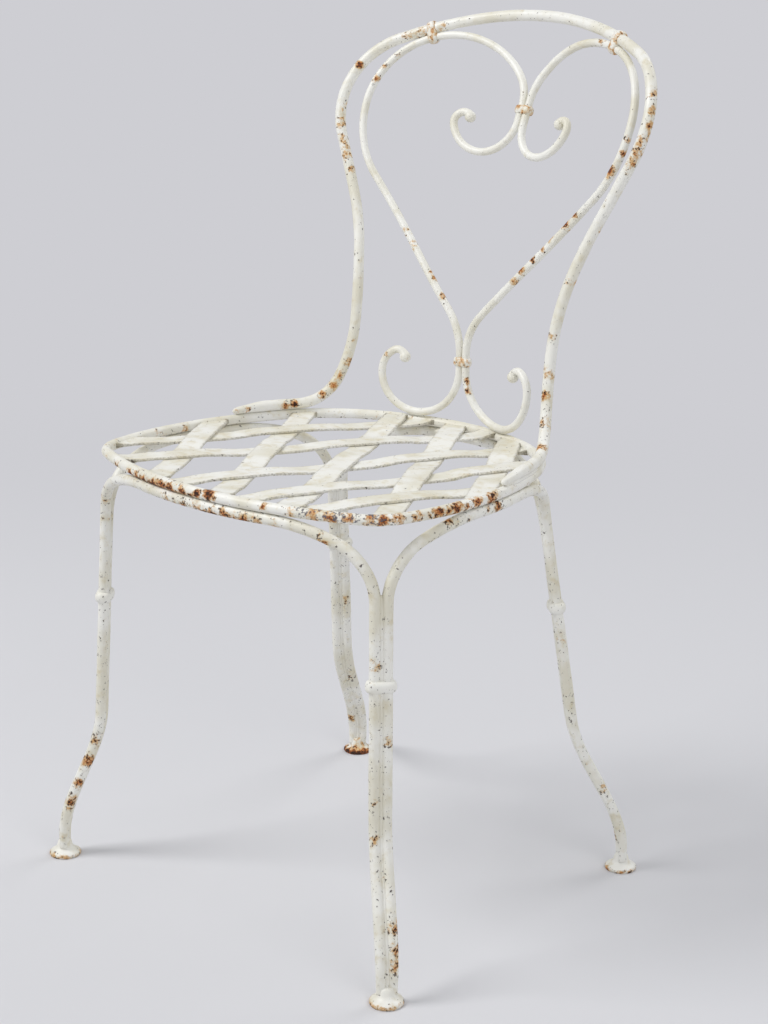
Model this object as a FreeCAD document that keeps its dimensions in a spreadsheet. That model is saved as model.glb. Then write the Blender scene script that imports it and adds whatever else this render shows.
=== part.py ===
import FreeCAD, Part
import math
import os
import Sketcher
from FreeCAD import Placement, Rotation, Vector

# A forged garden chair: a seat ring with woven straps, four arched rods that make the legs in pairs,
# a back hoop and two scroll rods held by collars. Millimetres, +Z up, front of the chair towards -Y,
# origin on the floor under the middle of the chair's box.

SIZES = [
    ("seat_height", 446.3, "height of the seat ring's centre line"),
    ("ring_diameter", 10.6, "round bar of the seat ring"),
    ("front_radius", 400.0, "plan radius of the seat's front edge"),
    ("corner_radius", 45.0, "plan radius of the front corners"),
    ("side_front_radius", 270.0, "plan radius of the sides near the front"),
    ("side_rear_radius", 355.0, "plan radius of the sides towards the back"),
    ("rear_corner_radius", 142.0, "plan radius of the rear corners"),
    ("front_reach", 123.6, "from the seat's reference point, where feet are measured from, to the front"),
    ("front_turn", 25.5, "angle turned by half of the front edge, degrees"),
    ("corner_turn", 48.5, "angle turned by a front corner, degrees"),
    ("side_rear_turn", 24.0, "angle turned by the rear part of a side, degrees"),
    ("rear_corner_turn", 36.0, "angle turned by a rear corner, degrees"),
    ("strap_width", 26.0, "width of the woven seat straps"),
    ("strap_thickness", 2.6, "thickness of the seat straps"),
    ("strap_settle", 75.0, "stretch in which a strap comes back to mid height beyond its outer crossings"),
    ("weld_gap", 0.02, "hairline between a strap's end and the ring"),
    ("leg_rod_diameter", 11.0, "round rod of the arches and legs"),
    ("arch_corner_radius", 58.0, "bend where an arch rod turns down into a leg"),
    ("arch_crown_radius", 190.0, "long curve that brings an arch rod up under the ring"),
    ("arch_crown_turn", 21.0, "angle turned by that long curve, degrees"),
    ("front_leg_heading", 52.0, "where the front legs stand on the ring, as the ring's heading, degrees"),
    ("rear_leg_heading", 138.0, "where the rear legs stand on the ring, as the ring's heading, degrees"),
    ("front_leg_lean", 0.046, "outward slope of the upper front legs"),
    ("rear_leg_lean", 0.16, "outward slope of the upper rear legs"),
    ("front_flare_height", 165.0, "height where the front legs begin to flare"),
    ("rear_flare_height", 170.0, "height where the rear legs begin to flare"),
    ("flare_end_height", 22.0, "height where the legs stand upright again over the feet"),
    ("front_foot_x", 233.0, "sideways place of the front feet"),
    ("front_foot_y", -105.0, "fore and aft place of the front feet from the seat centre"),
    ("rear_foot_x", 213.0, "sideways place of the rear feet"),
    ("right_rear_foot_y", 282.0, "fore and aft place of the right rear foot"),
    ("left_rear_foot_y", 327.0, "fore and aft place of the left rear foot, which is bent further out"),
    ("foot_diameter", 33.0, "disc foot"),
    ("foot_edge", 3.0, "height of the disc's straight edge"),
    ("foot_height", 9.0, "height of the whole foot"),
    ("foot_neck_diameter", 24.0, "flat top of the foot, under the rods"),
    ("leg_collar_height", 292.0, "height of the leg collars"),
    ("leg_collar_length", 12.0, "length of a leg collar along the leg"),
    ("leg_collar_wall", 3.6, "wall of a leg collar"),
    ("hoop_diameter", 11.6, "round rod of the back hoop"),
    ("right_tail_length", 98.0, "length of the hoop's right tail, which lies on the ring"),
    ("left_tail_length", 70.0, "length of the hoop's left tail, which lies on the ring"),
    ("hoop_foot_heading", 121.0, "where the hoop leaves the ring, as the ring's heading, degrees"),
    ("waist_half_width", 134.5, "half width of the hoop's waist"),
    ("waist_rise", 99.7, "height of the hoop's waist above the seat ring"),
    ("hoop_half_width", 203.0, "half of the hoop's greatest width"),
    ("hoop_flare_radius", 305.0, "curve that opens the hoop above its waist"),
    ("hoop_side_radius", 85.0, "curve that closes the hoop at its widest"),
    ("hoop_flare_turn", 26.0, "angle turned by those two curves, degrees"),
    ("shoulder_radius", 68.0, "radius of the hoop's shoulders"),
    ("shoulder_turn", 69.0, "angle turned by a shoulder, degrees"),
    ("back_inset", 4.0, "how far the back's foot stands forward of the ring's rear edge"),
    ("back_lean_rise", 88.7, "height above the seat ring where the back begins to lean"),
    ("back_lean_radius", 250.0, "curve in side view that starts the lean"),
    ("back_lean_angle", 20.3, "lean of the upper back, degrees"),
    ("back_wrap_radius", 450.0, "plan radius of the hollow of the back"),
    ("back_blend_height", 160.0, "height over which the back's plan curve leaves the ring's"),
    ("scroll_diameter", 8.2, "round rod of the scrolls"),
    ("scroll_ball_diameter", 12.0, "ball at each scroll's end"),
    ("pair_gap", 0.2, "clearance between rods that lie side by side"),
    ("neck_length", 15.0, "straight stretch of the scroll rods at their lower collar"),
    ("spread_radius", 64.0, "curve that opens the scroll rods above their neck"),
    ("spread_turn", 44.0, "angle turned by that curve, degrees"),
    ("scroll_half_width", 177.0, "half of the scroll rods' greatest width"),
    ("scroll_side_radius", 107.0, "curve that brings the scroll rods upright at their widest"),
    ("scroll_shoulder_radius", 70.8, "outer shoulder of the heart"),
    ("scroll_shoulder_turn", 65.3, "angle turned by that shoulder, degrees"),
    ("crest_radius", 101.5, "top of the heart between its shoulder and its drop"),
    ("crest_turn", 75.5, "angle turned by that top, degrees"),
    ("heart_neck_length", 16.5, "straight stretch of the scroll rods, with the heart collar at its top"),
    ("cleft_rise", 333.9, "height above the seat ring of the heart's cleft, where the rods bend aside"),
    ("cleft_offset", 14.4, "how far the cleft stands to the right of the middle"),
    ("cleft_reach", 116.0, "distance from the cleft at which that offset has died out"),
    ("upper_scroll_radius", 33.0, "first curve of the upper scrolls"),
    ("upper_scroll_return", 41.0, "second curve of the upper scrolls"),
    ("upper_return_turn", 70.0, "angle turned by that second curve, degrees"),
    ("upper_volute_radius", 9.0, "closing curl of the upper scrolls"),
    ("upper_volute_turn", 170.0, "angle turned by that curl, degrees"),
    ("lower_scroll_return", 42.0, "second curve of the lower scrolls"),
    ("lower_scroll_close", 25.0, "third curve of the lower scrolls"),
    ("lower_close_turn", 60.0, "angle turned by that third curve, degrees"),
    ("lower_volute_radius", 9.3, "closing curl of the lower scrolls"),
    ("lower_volute_turn", 110.0, "angle turned by that curl, degrees"),
    ("band_wall", 2.3, "wall of the collars on the back"),
    ("band_length", 10.0, "length of the collars on the back"),
    ("rounding_of_wall", 0.8, "rounding of a collar's rim as a share of its wall"),
    ("rounding_of_length", 0.4, "largest rounding of a collar's rim as a share of its length"),
    ("fit_gap", 0.15, "clearance between a collar and its rods, and between stacked pieces"),
]
# For each strap, where its centre line crosses the seat's middle line and how far it slants, in degrees.
RIGHT_STRAPS = [(-141.0, 27.0), (-58.0, 28.0), (36.0, 23.0), (115.0, 21.0), (182.0, 23.0)]
LEFT_STRAPS = [(-187.0, -34.0), (-89.0, -32.0), (12.0, -28.0), (105.0, -31.0), (188.0, -32.0)]

doc = FreeCAD.newDocument("garden_chair")
sheet = doc.addObject("Spreadsheet::Sheet", "Sizes")
row = 0
for alias, value, meaning in SIZES:
    row += 1
    sheet.set("A%d" % row, meaning)
    sheet.set("B%d" % row, str(value))
    sheet.setAlias("B%d" % row, alias)
for side, straps in (("right", RIGHT_STRAPS), ("left", LEFT_STRAPS)):
    for number, values in enumerate(straps, 1):
        for word, value in zip(("place", "slant"), values):
            row += 1
            sheet.set("A%d" % row, "%s of %s strap %d" % (word, side, number))
            sheet.set("B%d" % row, str(value))
            sheet.setAlias("B%d" % row, "%s_strap_%d_%s" % (side, number, word))
doc.recompute()


def size(alias):
    return float(getattr(sheet, alias))


# Flat paths made of arcs and straight runs

class FlatPath:
    """A chain of tangent arcs and straight runs in a plane, walked from a start point and heading."""

    def __init__(self, x, y, heading):
        self.steps = []
        self.end = (x, y, math.radians(heading))
        self.length = 0.0

    def add(self, length, turn):
        x, y, heading = self.end
        self.steps.append((self.length, length, turn, x, y, heading))
        self.length += length
        self.end = self.at(self.length)
        return self

    def arc(self, radius, degrees):
        turn = math.radians(degrees)
        return self.add(radius * abs(turn), turn)

    def run(self, length):
        return self.add(length, 0.0)

    def at(self, distance):
        """Point and heading at a distance along the path."""
        chosen = self.steps[0]
        for step in self.steps:
            if step[0] <= distance + 1e-9:
                chosen = step
        start, length, turn, x, y, heading = chosen
        part = (distance - start) / length
        middle = heading + turn * part / 2
        half = turn * part / 2
        chord = (distance - start) * (math.sin(half) / half if abs(half) > 1e-9 else 1.0)
        return x + chord * math.cos(middle), y + chord * math.sin(middle), heading + turn * part

    def distance_at_heading(self, degrees):
        """First distance where the path points along the given heading."""
        wanted = math.radians(degrees)
        for start, length, turn, x, y, heading in self.steps:
            if turn and 0 <= (wanted - heading) / turn <= 1:
                return start + length * (wanted - heading) / turn
        raise ValueError("the path never reaches %g degrees" % degrees)

    def stations(self, longest, widest):
        """Distances that split each step into parts no longer and no more turned than asked."""
        marks = [0.0]
        for start, length, turn, x, y, heading in self.steps:
            parts = max(1, math.ceil(length / longest), math.ceil(abs(math.degrees(turn)) / widest))
            marks += [start + length * (k + 1) / parts for k in range(parts)]
        return marks


# Rods bent in space

def arc_or_line(start, direction, end):
    """Edge that leaves start along direction and reaches end as one arc, or as a line."""
    chord = end - start
    side = chord - direction * chord.dot(direction)
    if side.Length < 1e-4 * chord.Length:
        return Part.LineSegment(start, end).toShape()
    side.normalize()
    radius = chord.dot(chord) / (2 * chord.dot(side))
    centre = start + side * radius
    outward = (start + end) * 0.5 - centre
    outward.normalize()
    return Part.Arc(start, centre + outward * radius, end).toShape()


def two_arcs(start, start_way, end, end_way):
    """Two tangent arcs between two points with given directions."""
    chord = end - start
    ways = start_way + end_way
    spare = 2 * (1 - start_way.dot(end_way))
    along = chord.dot(ways)
    if spare < 1e-9:
        reach = chord.dot(chord) / (4 * chord.dot(end_way))
    else:
        reach = (math.sqrt(along * along + spare * chord.dot(chord)) - along) / spare
    middle = (start + end + (start_way - end_way) * reach) * 0.5
    middle_way = middle - (start + start_way * reach)
    middle_way.normalize()
    if (middle_way - start_way).Length < 1e-5 and (end_way - start_way).Length < 1e-5:
        return [Part.LineSegment(start, end).toShape()]
    return [arc_or_line(start, start_way, middle), arc_or_line(middle, middle_way, end)]


def rod(points, ways, diameter):
    """Round rod swept along tangent arcs through the points, each with its direction."""
    edges = []
    for k in range(len(points) - 1):
        edges += two_arcs(points[k], ways[k], points[k + 1], ways[k + 1])
    path = Part.Wire(edges)
    section = Part.Wire([Part.makeCircle(diameter / 2, points[0], ways[0])])
    solid = path.makePipeShell([section], True, False)
    wanted = math.pi * diameter ** 2 / 4 * path.Length
    if abs(abs(solid.Volume) / wanted - 1) > 0.01:
        raise ValueError("a rod came out with the wrong volume")
    return solid


def ways_along(place, marks, step=0.05):
    """Unit directions of a curve, given as a function of distance, at the marks."""
    ways = []
    for mark in marks:
        before = place(max(mark - step, marks[0]))
        after = place(min(mark + step, marks[-1]))
        way = after - before
        way.normalize()
        ways.append(way)
    return ways


def add_piece(label, shape):
    piece = doc.addObject("Part::Feature", label)
    piece.Label = label
    piece.Shape = shape
    pieces.append(piece)
    return piece


pieces = []
seat_z = size("seat_height")
ring_radius = size("ring_diameter") / 2
leg_radius = size("leg_rod_diameter") / 2
hoop_radius = size("hoop_diameter") / 2
scroll_radius = size("scroll_diameter") / 2
fit_gap = size("fit_gap")


# Seat ring: half of the outline in plan, from the middle of the front round to the middle of the back

half_ring = FlatPath(0.0, 0.0, 0.0)
half_ring.arc(size("front_radius"), size("front_turn"))
half_ring.arc(size("corner_radius"), size("corner_turn"))
half_ring.arc(size("side_front_radius"), 90.0 - size("front_turn") - size("corner_turn"))
half_ring.arc(size("side_rear_radius"), size("side_rear_turn"))
half_ring.arc(size("rear_corner_radius"), size("rear_corner_turn"))
rear_turn = 90.0 - size("side_rear_turn") - size("rear_corner_turn")
rear_radius = half_ring.end[0] / math.sin(math.radians(rear_turn))
half_ring.arc(rear_radius, rear_turn)
seat_depth = half_ring.end[1]
seat_front_y = -size("front_reach")
seat_rear_y = seat_front_y + seat_depth
ring_length = 2 * half_ring.length


def ring_place(distance, z=0.0, outward=0.0):
    """Point of the ring's plan at a distance from the middle of the front, to the right if positive."""
    distance = (distance + half_ring.length) % ring_length - half_ring.length
    x, y, heading = half_ring.at(abs(distance))
    x += outward * math.sin(heading)
    y -= outward * math.cos(heading)
    return Vector(x if distance >= 0 else -x, y + seat_front_y, z)


def ring_edges(z, outward=0.0):
    marks = half_ring.stations(ring_length, 360.0)
    edges = []
    for side in (1, -1):
        for first, last in zip(marks, marks[1:]):
            corners = [ring_place(side * mark, z, outward) for mark in (first, (first + last) / 2, last)]
            edges.append(Part.Arc(*corners).toShape())
    return Part.__sortEdges__(edges)


ring_path = Part.Wire(ring_edges(seat_z))
ring_section = Part.Wire([Part.makeCircle(ring_radius, ring_place(0.0, seat_z), Vector(1, 0, 0))])
ring_solid = ring_path.makePipeShell([ring_section], True, False)
add_piece("seat_ring", ring_solid)


# Seat straps: thin flat bars in two slanting rows, woven over and under, with their ends on the ring

strap_width = size("strap_width")
strap_thickness = size("strap_thickness")
weave_rise = (strap_thickness + fit_gap) / 2
seat_inside = Part.Face(Part.Wire(ring_edges(seat_z - ring_radius)))
seat_inside = seat_inside.extrude(Vector(0, 0, 2 * ring_radius))
weld_radius = ring_radius + size("weld_gap")
ring_cutter_section = Part.Wire([Part.makeCircle(weld_radius, ring_place(0.0, seat_z), Vector(1, 0, 0))])
ring_cutter = ring_path.makePipeShell([ring_cutter_section], True, False)


class Strap:
    def __init__(self, label, first_rise):
        slant = math.radians(size(label + "_slant"))
        self.label = label
        self.first_rise = first_rise
        self.start = Vector(size(label + "_place"), (seat_front_y + seat_rear_y) / 2, seat_z)
        self.way = Vector(math.sin(slant), math.cos(slant), 0)
        self.side = Vector(self.way.y, -self.way.x, 0)

    def crossing(self, other):
        """Distance along this strap where it meets the other's centre line."""
        gap = other.start - self.start
        return gap.dot(other.side) / self.way.dot(other.side)

    def half_crossing(self, other):
        """Half of the stretch of this strap that lies over or under the other."""
        sine = abs(self.way.dot(other.side))
        cosine = abs(self.way.dot(other.way))
        return strap_width / 2 * (1 + cosine) / sine


def strap_wave(marks):
    """Heights along a strap as a flat path: level at each crossing, with a pair of arcs between."""
    settle = size("strap_settle")
    path = FlatPath(marks[0][0] - settle - seat_depth, 0.0, 0.0)
    path.run(seat_depth)
    height = 0.0
    for mark, rise, half_flat in marks + [(marks[-1][0] + settle, 0.0, 0.0)]:
        climb = rise - height
        slope_length = mark - half_flat - path.end[0]
        if slope_length > strap_thickness and climb:
            turn = 2 * math.atan2(abs(climb), slope_length)
            radius = slope_length / 2 / math.sin(turn)
            sign = math.copysign(1.0, climb)
            path.add(radius * turn, sign * turn)
            path.add(radius * turn, -sign * turn)
        if half_flat:
            path.run(mark + half_flat - path.end[0])
        height = path.end[1]
    path.run(seat_depth)
    return path


def strap_solid(strap, others, number):
    marks = []
    for other_number, other in enumerate(others, 1):
        over = 1 if (number + other_number) % 2 == 0 else -1
        marks.append((strap.crossing(other), over * strap.first_rise, strap.half_crossing(other)))
    marks.sort()
    wave = strap_wave(marks)
    corner_marks = wave.stations(ring_length, 360.0)

    def spot(mark, lift):
        along, height, heading = wave.at(mark)
        return strap.start + strap.way * along + Vector(0, 0, height + lift) - strap.side * (strap_width / 2)

    edges = []
    for lift in (-strap_thickness / 2, strap_thickness / 2):
        for (first, last), step in zip(zip(corner_marks, corner_marks[1:]), wave.steps):
            ends = [spot(first, lift), spot(last, lift)]
            if step[2]:
                edges.append(Part.Arc(ends[0], spot((first + last) / 2, lift), ends[1]).toShape())
            else:
                edges.append(Part.LineSegment(*ends).toShape())
    for mark in (corner_marks[0], corner_marks[-1]):
        ends = [spot(mark, -strap_thickness / 2), spot(mark, strap_thickness / 2)]
        edges.append(Part.LineSegment(*ends).toShape())
    outline = Part.Wire(Part.__sortEdges__(edges))
    band = Part.Face(outline).extrude(strap.side * strap_width)
    return band.common(seat_inside).cut(ring_cutter)


right_straps = [Strap("right_strap_%d" % number, -weave_rise) for number in range(1, len(RIGHT_STRAPS) + 1)]
left_straps = [Strap("left_strap_%d" % number, weave_rise) for number in range(1, len(LEFT_STRAPS) + 1)]
for row_of_straps, others in ((right_straps, left_straps), (left_straps, right_straps)):
    for number, strap in enumerate(row_of_straps, 1):
        pieces_of_band = strap_solid(strap, others, number).Solids
        add_piece(strap.label, max(pieces_of_band, key=lambda solid: solid.Volume))


# Legs and arches: each arch is one rod from foot to foot, two rods side by side make a leg

class Leg:
    def __init__(self, name, side, heading, foot_x, foot_y, lean, flare_height):
        self.name = name
        self.ring_mark = side * half_ring.distance_at_heading(heading)
        self.corner = ring_place(self.ring_mark)
        self.foot = Vector(side * foot_x, foot_y, 0)
        self.out = self.foot - self.corner
        self.reach = self.out.Length
        self.out.normalize()
        self.lean = lean
        self.flare_height = flare_height

    def offset(self, z):
        """How far out of the ring's corner the leg stands at a height."""
        if z >= self.flare_height:
            return self.lean * (arch_z - z)
        run = self.flare_height - size("flare_end_height")
        part = min(1.0, (self.flare_height - z) / run)
        start = self.lean * (arch_z - self.flare_height)
        slope = self.lean * run
        keep = 1 + part * part * (2 * part - 3)
        return start * keep + slope * part * (1 - part) ** 2 + self.reach * (1 - keep)

    def place(self, z):
        return self.corner + self.out * self.offset(z) + Vector(0, 0, z)

    def way(self, z):
        """Direction of the leg at a height, upright where it stands on the foot."""
        if z <= foot_height:
            return Vector(0, 0, 1)
        way = self.place(z + 0.5) - self.place(z - 0.5)
        way.normalize()
        return way


arch_z = seat_z - ring_radius - leg_radius - fit_gap
rod_spacing = 2 * leg_radius + size("pair_gap")
half_spacing = rod_spacing / 2
front_values = (size("front_leg_heading"), size("front_foot_x"), size("front_foot_y"),
                size("front_leg_lean"), size("front_flare_height"))
right_rear_values = (size("rear_leg_heading"), size("rear_foot_x"), size("right_rear_foot_y"),
                     size("rear_leg_lean"), size("rear_flare_height"))
left_rear_values = (size("rear_leg_heading"), size("rear_foot_x"), size("left_rear_foot_y"),
                    size("rear_leg_lean"), size("rear_flare_height"))
right_front = Leg("right_front", 1, *front_values)
right_rear = Leg("right_rear", 1, *right_rear_values)
left_rear = Leg("left_rear", -1, *left_rear_values)
left_front = Leg("left_front", -1, *front_values)
legs = [right_front, right_rear, left_rear, left_front]

foot_height = size("foot_height")
crown_turn = size("arch_crown_turn")
bend = FlatPath(0.0, 0.0, 90.0)
bend.arc(size("arch_corner_radius"), crown_turn - 90.0)
bend.arc(size("arch_crown_radius"), -crown_turn)
bend_start = arch_z - bend.end[1]
bend_part_length = 40.0
bend_part_turn = 23.0
under_part_length = 45.0


def leg_heights(leg):
    """Heights of the stations down one leg, from the arch's bend to the foot."""
    flare_end = size("flare_end_height")
    steps = 6
    flare = [leg.flare_height + (flare_end - leg.flare_height) * k / steps for k in range(steps + 1)]
    return [bend_start] + flare + [foot_height]


def arch_points(first, second):
    """Stations of an arch rod from the first leg's foot, under the ring, to the second leg's foot."""
    start_mark = first.ring_mark + half_spacing
    end_mark = second.ring_mark - half_spacing
    if end_mark < start_mark:
        end_mark += ring_length

    def leg_side(leg, corner_mark, toward):
        """One leg from its foot up, with its bend, on the side of the leg given by its mark on the ring."""

        def spot(u, z):
            return ring_place(corner_mark + toward * u, z) + leg.out * leg.offset(z)

        def bend_spot(mark):
            u, rise, heading = bend.at(mark)
            return spot(u, bend_start + rise)

        points = []
        ways = []
        for z in reversed(leg_heights(leg)):
            points.append(spot(0.0, z))
            ways.append(leg.way(z))
        marks = bend.stations(bend_part_length, bend_part_turn)
        points += [bend_spot(mark) for mark in marks[1:]]
        ways += ways_along(bend_spot, marks)[1:]
        return points, ways

    points, ways = leg_side(first, start_mark, 1)
    far_points, far_ways = leg_side(second, end_mark, -1)
    reach = bend.end[0]
    under = end_mark - start_mark - 2 * reach
    parts = max(2, math.ceil(under / under_part_length))
    for k in range(1, parts):
        mark = start_mark + reach + under * k / parts
        points.append(ring_place(mark, arch_z))
        way = ring_place(mark + 0.05) - ring_place(mark - 0.05)
        way.normalize()
        ways.append(way)
    points += reversed(far_points)
    ways += [way * -1 for way in reversed(far_ways)]
    return points, ways


arches = (("front_arch", left_front, right_front), ("right_arch", right_front, right_rear),
          ("rear_arch", right_rear, left_rear), ("left_arch", left_rear, left_front))
for label, first, second in arches:
    add_piece(label, rod(*arch_points(first, second), size("leg_rod_diameter")))


# Back: flat curves drawn in front view and laid on one hollow, leaning surface

back_foot_y = seat_rear_y - size("back_inset")
lean_angle = math.radians(size("back_lean_angle"))
lean_rise = size("back_lean_radius") * math.sin(lean_angle)
lean_depth = size("back_lean_radius") * (1 - math.cos(lean_angle))


def back_place(x, z):
    """Point of the back's surface behind a point of its front view."""
    rise = z - seat_z - size("back_lean_rise")
    if rise <= 0:
        lean = 0.0
    elif rise <= lean_rise:
        lean = size("back_lean_radius") - math.sqrt(size("back_lean_radius") ** 2 - rise ** 2)
    else:
        lean = lean_depth + (rise - lean_rise) * math.tan(lean_angle)
    ring_share = max(0.0, 1 - max(0.0, z - seat_z) / size("back_blend_height")) ** 2
    wrap = ring_share / (2 * rear_radius) + (1 - ring_share) / (2 * size("back_wrap_radius"))
    return Vector(x, back_foot_y + lean - wrap * x * x, z)


def bent_place(x, z):
    """Point of the back's surface with the heart's cleft bent off the middle by hand."""
    distance = math.hypot(x, z - seat_z - size("cleft_rise"))
    share = max(0.0, 1 - (distance / size("cleft_reach")) ** 2) ** 2
    return back_place(x + size("cleft_offset") * share, z)


def back_rod(path, side=1, longest=45.0, widest=30.0):
    """Points and directions of a front-view path laid on the back, on the left if side is -1."""
    marks = path.stations(longest, widest)

    def place(mark):
        x, z, heading = path.at(mark)
        return bent_place(side * x, z)

    return [place(mark) for mark in marks], ways_along(place, marks)


def mirrored(points, ways):
    """The same curve on the other side, walked back to keep its direction."""
    other_points = [Vector(-p.x, p.y, p.z) for p in reversed(points)]
    other_ways = [Vector(w.x, -w.y, -w.z) for w in reversed(ways)]
    return other_points, other_ways


hoop_turn = size("hoop_flare_turn")
turn = math.radians(hoop_turn)
opening = size("hoop_half_width") - size("waist_half_width")
arc_share = (size("hoop_flare_radius") + size("hoop_side_radius")) * (1 - math.cos(turn))
waist_z = seat_z + size("waist_rise")
hoop_front = FlatPath(size("waist_half_width"), waist_z, 90.0)
hoop_front.arc(size("hoop_flare_radius"), -hoop_turn)
hoop_front.run((opening - arc_share) / math.sin(turn))
hoop_front.arc(size("hoop_side_radius"), hoop_turn)
hoop_front.arc(size("shoulder_radius"), size("shoulder_turn"))
crown_half = hoop_front.end[0]
crown_turn_left = 90.0 - size("shoulder_turn")
hoop_front.arc(crown_half / math.sin(math.radians(crown_turn_left)), crown_turn_left)
hoop_top_z = hoop_front.end[1]

hoop_lift = ring_radius + hoop_radius + fit_gap
foot_mark = half_ring.distance_at_heading(size("hoop_foot_heading"))


def hoop_side(tail_length):
    """Points and directions of half the hoop, from the end of its tail to the crown."""
    marks = [foot_mark - tail_length * (1 - k / 3) for k in range(4)]
    points = [ring_place(mark, seat_z + hoop_lift) for mark in marks]
    ways = []
    for mark in marks:
        way = ring_place(mark + 0.05) - ring_place(mark - 0.05)
        way.normalize()
        ways.append(way)
    side_points, side_ways = back_rod(hoop_front)
    return points + side_points, ways + side_ways


hoop_points, hoop_ways = hoop_side(size("right_tail_length"))
other_points, other_ways = mirrored(*hoop_side(size("left_tail_length")))
hoop_points += other_points[1:]
hoop_ways += other_ways[1:]
hoop_rod = rod(hoop_points, hoop_ways, size("hoop_diameter"))
for end in (hoop_points[0], hoop_points[-1]):
    hoop_rod = hoop_rod.fuse(Part.makeSphere(hoop_radius, end))
add_piece("back_hoop", hoop_rod)

scroll_x = scroll_radius + size("pair_gap") / 2
spread = math.radians(size("spread_turn"))
spread_share = (size("spread_radius") + size("scroll_side_radius")) * (1 - math.cos(spread))
scroll_opening = size("scroll_half_width") - scroll_x
drop_turn = 180.0 - size("scroll_shoulder_turn") - size("crest_turn")


def scroll_front(foot_z):
    """Front view of a scroll rod from its neck up, its tie to the hoop and its heart collar marked."""
    path = FlatPath(scroll_x, foot_z, 90.0)
    path.run(size("neck_length"))
    path.arc(size("spread_radius"), -size("spread_turn"))
    path.run((scroll_opening - spread_share) / math.sin(spread))
    path.arc(size("scroll_side_radius"), size("spread_turn"))
    path.arc(size("scroll_shoulder_radius"), size("scroll_shoulder_turn"))
    path.arc(size("crest_radius"), size("crest_turn"))
    drop_radius = (path.end[0] - scroll_x) / (1 - math.cos(math.radians(drop_turn)))
    path.arc(drop_radius, drop_turn)
    path.heart_mark = path.length + size("band_length") / 2
    path.run(size("heart_neck_length"))
    path.arc(size("upper_scroll_radius"), 90.0)
    path.arc(size("upper_scroll_return"), size("upper_return_turn"))
    path.arc(size("upper_volute_radius"), size("upper_volute_turn"))
    return path


def nearest_to_hoop(path):
    """Smallest distance from a scroll's heart to the hoop, with the two points where it is."""
    count = 120
    hoop_line = [back_place(*hoop_front.at(hoop_front.length * k / count)[:2]) for k in range(count + 1)]
    best = None
    for k in range(count + 1):
        mark = path.heart_mark * k / count
        point = back_place(*path.at(mark)[:2])
        for first, last in zip(hoop_line, hoop_line[1:]):
            span = last - first
            part = min(1.0, max(0.0, (point - first).dot(span) / span.dot(span)))
            foot = first + span * part
            if best is None or (point - foot).Length < best[0]:
                best = ((point - foot).Length, mark, point, foot)
    return best


# The scroll rods stand as high as lets the heart's shoulders touch the hoop from inside.
tie_distance = hoop_radius + scroll_radius + size("pair_gap")
scroll_seat_z = seat_z + ring_radius + scroll_radius + fit_gap
low, high = scroll_seat_z + scroll_radius, waist_z
while high - low > 0.01:
    middle = (low + high) / 2
    if nearest_to_hoop(scroll_front(middle))[0] > tie_distance:
        low = middle
    else:
        high = middle
neck_foot_z = low
upper_scroll = scroll_front(neck_foot_z)
first_curve = neck_foot_z - scroll_seat_z
lower_scroll = FlatPath(scroll_x, neck_foot_z, -90.0)
lower_scroll.arc(first_curve, 90.0)
lower_scroll.arc(size("lower_scroll_return"), 90.0)
lower_scroll.arc(size("lower_scroll_close"), size("lower_close_turn"))
lower_scroll.arc(size("lower_volute_radius"), size("lower_volute_turn"))

for label, side in (("right_scroll", 1), ("left_scroll", -1)):
    lower_points, lower_ways = back_rod(lower_scroll, side)
    upper_points, upper_ways = back_rod(upper_scroll, side)
    points = list(reversed(lower_points)) + upper_points[1:]
    ways = [way * -1 for way in reversed(lower_ways)] + upper_ways[1:]
    solid = rod(points, ways, size("scroll_diameter"))
    for end in (points[0], points[-1]):
        solid = solid.fuse(Part.makeSphere(size("scroll_ball_diameter") / 2, end))
    add_piece(label, solid)


# Collars and feet, drawn as sketches and padded or turned

def origin_plane(body, role):
    return [feature for feature in body.Origin.OriginFeatures if feature.Role == role][0]


def new_sketch(body, role):
    sketch = body.newObject("Sketcher::SketchObject", body.Label + "_sketch")
    sketch.AttachmentSupport = [(origin_plane(body, role), "")]
    sketch.MapMode = "FlatFace"
    return sketch


def bind(sketch, constraint, name, expression):
    """Add a constraint that follows an expression on the sheet."""
    number = sketch.addConstraint(constraint)
    sketch.renameConstraint(number, name)
    sketch.setExpression("Constraints." + name, expression)


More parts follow.
